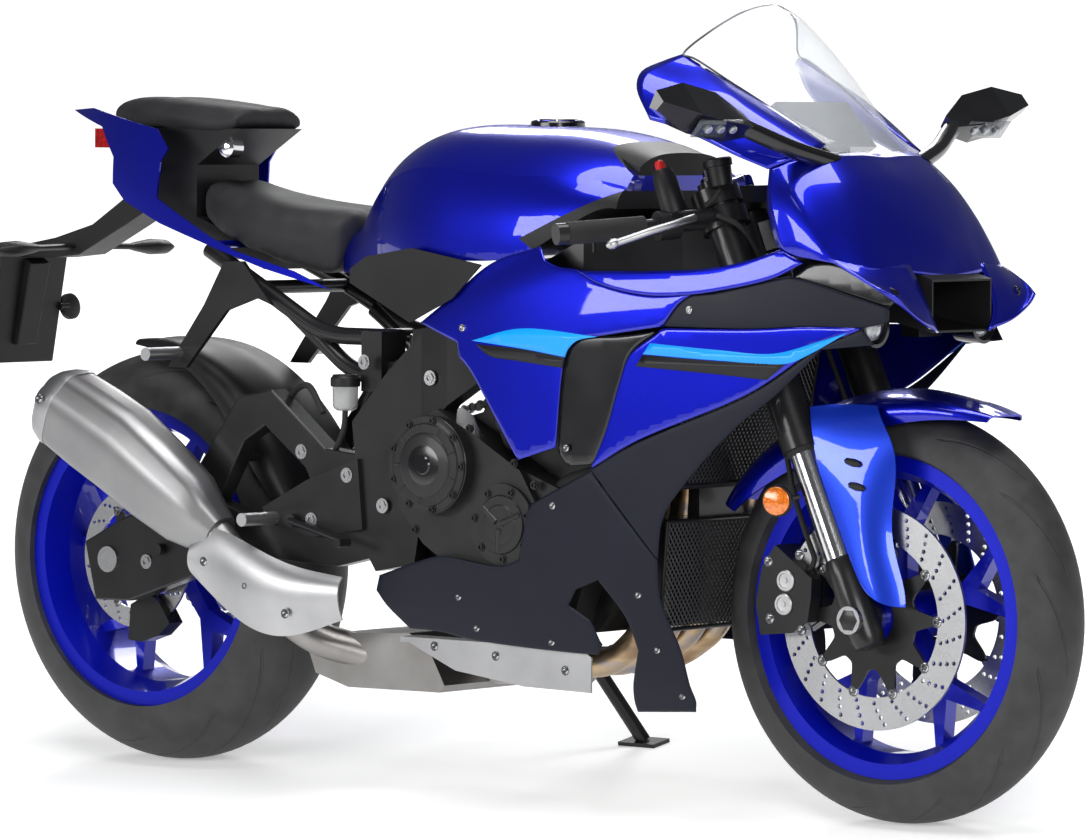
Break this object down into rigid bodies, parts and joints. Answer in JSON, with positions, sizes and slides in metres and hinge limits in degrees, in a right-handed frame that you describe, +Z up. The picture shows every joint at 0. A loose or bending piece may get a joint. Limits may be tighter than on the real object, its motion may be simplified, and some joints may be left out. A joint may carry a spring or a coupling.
{
  "type": "sport bike",
  "caption": "Full-faired sport motorcycle leaning on its side stand: twin-spar frame, raked fork, clip-on bars, clear screen, low side muffler and raised tail.",
  "frame": {"origin": "on the ground below the middle of the bounding box, with the bike leaning 10 degrees to its left on its side stand", "axes": "+X towards the front wheel, +Y to the left, +Z up from the ground"},
  "size_m": [2.061, 0.8676, 1.1584],
  "materials": {
    "paint_blue": "gloss metallic",
    "matte_navy": "matte",
    "black_plastic": "satin",
    "black_metal": "satin",
    "engine_metal": "satin black",
    "silver_metal": "brushed",
    "steel": "brushed",
    "heated_steel": "heat tinted",
    "chrome": "polished",
    "wheel_blue": "gloss",
    "rubber": "matte",
    "tyre": "matte",
    "seat": "grained",
    "clear": "clear",
    "lens": "clear",
    "red_lens": "clear"
  },
  "bodies": {
    "chassis": {"main_frame": "black_metal", "subframe": "black_metal", "swingarm": "black_metal", "rear_axle": "steel", "engine_block": "engine_metal", "engine_covers_right": "engine_metal", "engine_covers_left": "engine_metal", "radiators": "black_metal", "exhaust_headers": "heated_steel", "exhaust_chamber": "steel", "muffler": "silver_metal", "heat_shields": "silver_metal", "rear_hugger": "black_plastic", "rear_shock": "steel", "rear_brake": "black_metal", "chain": "steel", "front_sprocket": "steel", "fuel_tank": "paint_blue", "tank_shroud": "black_plastic", "side_fairings": "paint_blue", "lower_cowls": "matte_navy", "cowl_inserts": "black_plastic", "side_covers": "black_plastic", "nose_cowl": "paint_blue", "cowl_ears": "paint_blue", "windscreen": "clear", "mirrors": "black_plastic", "nose_duct": "black_plastic", "headlights": "lens", "instrument_panel": "black_plastic", "cowl_stay": "black_metal", "rider_seat": "seat", "passenger_seat": "seat", "tail_cowl": "paint_blue", "tail_core": "black_plastic", "tail_light": "red_lens", "plate_bracket": "black_plastic", "peg_brackets": "black_metal", "footpegs": "silver_metal", "pedals": "silver_metal"},
    "steering": {"fork_outers": "black_metal", "fork_inners": "chrome", "front_axle": "steel", "triple_clamps": "black_metal", "handlebars": "black_metal", "grips": "rubber", "levers": "silver_metal", "controls": "black_plastic", "front_fender": "paint_blue", "fork_guards": "paint_blue", "front_calipers": "black_metal", "front_hoses": "rubber"},
    "front_wheel": {"front_tyre": "tyre", "front_rim": "wheel_blue", "front_discs": "steel"},
    "rear_wheel": {"rear_tyre": "tyre", "rear_rim": "wheel_blue", "rear_disc": "steel", "rear_sprocket": "steel"},
    "side_stand": {"side_stand": "black_metal"}
  },
  "joints": [
    {"name": "steering_turn", "type": "hinge", "parent": "chassis", "child": "steering", "pos_m": [0.70692, -0.12909, 0.2837], "axis": [-0.4067, 0.1586, 0.8997], "range_deg": [-24, 24]},
    {"name": "front_wheel_spin", "type": "hinge", "parent": "steering", "child": "front_wheel", "pos_m": [0.7325, -0.12711, 0.29492], "axis": [0, 0.9848, -0.1736], "continuous": true},
    {"name": "rear_wheel_spin", "type": "hinge", "parent": "chassis", "child": "rear_wheel", "pos_m": [-0.6725, -0.12329, 0.31658], "axis": [0, 0.9848, -0.1736], "continuous": true},
    {"name": "side_stand_fold", "type": "hinge", "parent": "chassis", "child": "side_stand", "pos_m": [-0.0705, 0.03191, 0.26383], "axis": [0, 0.9962, 0.0872], "range_deg": [0, 98]}
  ]
}
